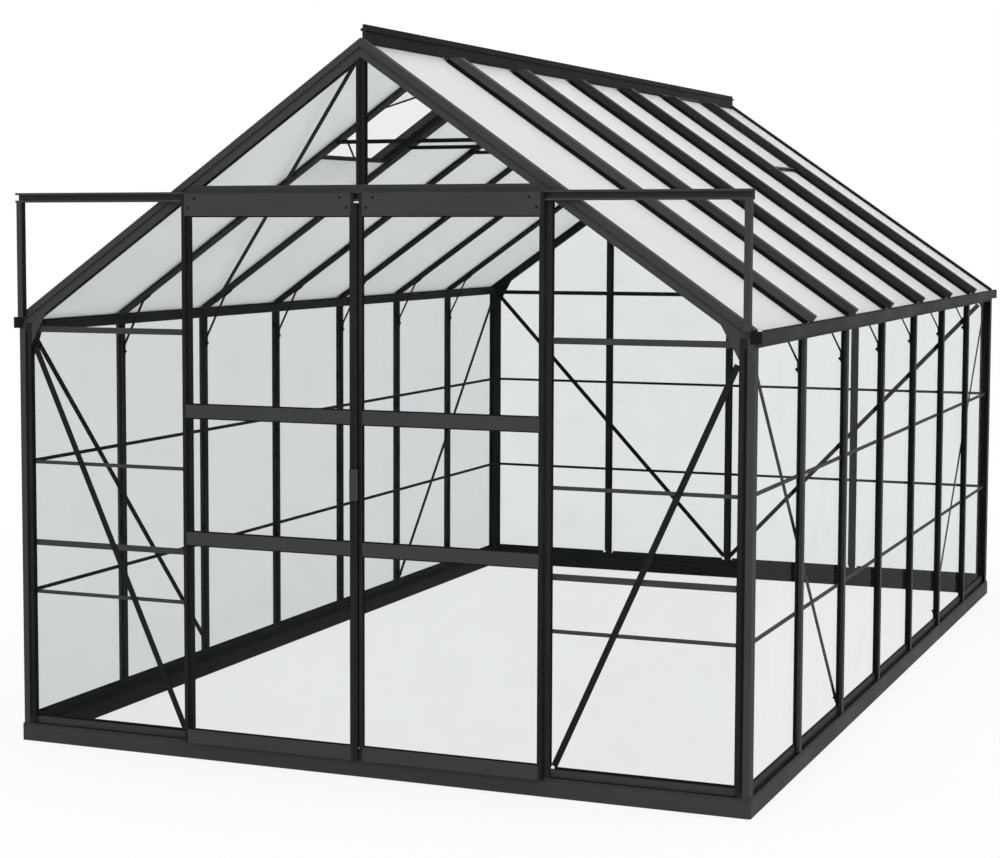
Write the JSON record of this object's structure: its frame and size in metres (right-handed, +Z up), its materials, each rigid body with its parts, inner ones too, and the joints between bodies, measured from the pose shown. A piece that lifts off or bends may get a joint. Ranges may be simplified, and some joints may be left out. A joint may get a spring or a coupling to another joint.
{
  "type": "glazed garden greenhouse",
  "caption": "Dark-framed glass greenhouse with a pitched roof, roof vents, eave gutters and a pair of doors that slide on an outside track in the front gable.",
  "frame": {"origin": "on the ground under the middle of the building", "axes": "+Z up, +Y along the ridge to the rear gable, the front gable with the doors faces -Y, +X to the right seen from the front"},
  "size_m": [2.581, 4.4605, 2.3881],
  "materials": {
    "frame": "satin powder coat",
    "shade": "satin powder coat",
    "wall_glass": "clear",
    "roof_glass": "clear",
    "black_plastic": "moulded",
    "seal": "brush strip"
  },
  "bodies": {
    "frame": {"base_front": "frame", "base_rear": "frame", "base_left": "frame", "base_right": "frame", "corner_posts": "frame", "left_wall_bars": "frame", "right_wall_bars": "frame", "rear_wall_bars": "frame", "door_jambs": "frame", "door_header": "shade", "king_bar": "frame", "front_panel_rails": "frame", "rear_eave_rails": "frame", "left_eave_gutter": "frame", "right_eave_gutter": "frame", "gutter_end_caps": "black_plastic", "front_gable_rafters": "frame", "rear_gable_rafters": "frame", "left_roof_bars": "frame", "right_roof_bars": "frame", "ridge_cap": "frame", "collar_ties": "shade", "knee_braces": "shade", "gusset_plates": "shade", "front_braces": "shade", "rear_braces": "shade", "side_wall_braces": "shade", "roof_braces": "shade", "glazing_strips": "frame", "left_wall_glass": "wall_glass", "right_wall_glass": "wall_glass", "rear_glass": "wall_glass", "front_glass": "wall_glass", "left_roof_glass": "roof_glass", "right_roof_glass": "roof_glass", "left_vent_sash": "frame", "right_vent_sash": "frame", "vent_glass": "roof_glass", "vent_sills": "shade", "vent_stay": "shade", "door_track": "frame", "track_struts": "frame"},
    "left_door": {"left_door_frame": "frame", "left_door_glass": "wall_glass", "left_door_rollers": "black_plastic", "left_door_seal": "seal", "left_door_handle": "frame"},
    "right_door": {"right_door_frame": "frame", "right_door_glass": "wall_glass", "right_door_rollers": "black_plastic"}
  },
  "joints": [
    {"name": "left_door_slide", "type": "slide", "parent": "frame", "child": "left_door", "axis": [-1, 0, 0], "range_m": [0, 0.6]},
    {"name": "right_door_slide", "type": "slide", "parent": "frame", "child": "right_door", "axis": [1, 0, 0], "range_m": [0, 0.6]}
  ]
}
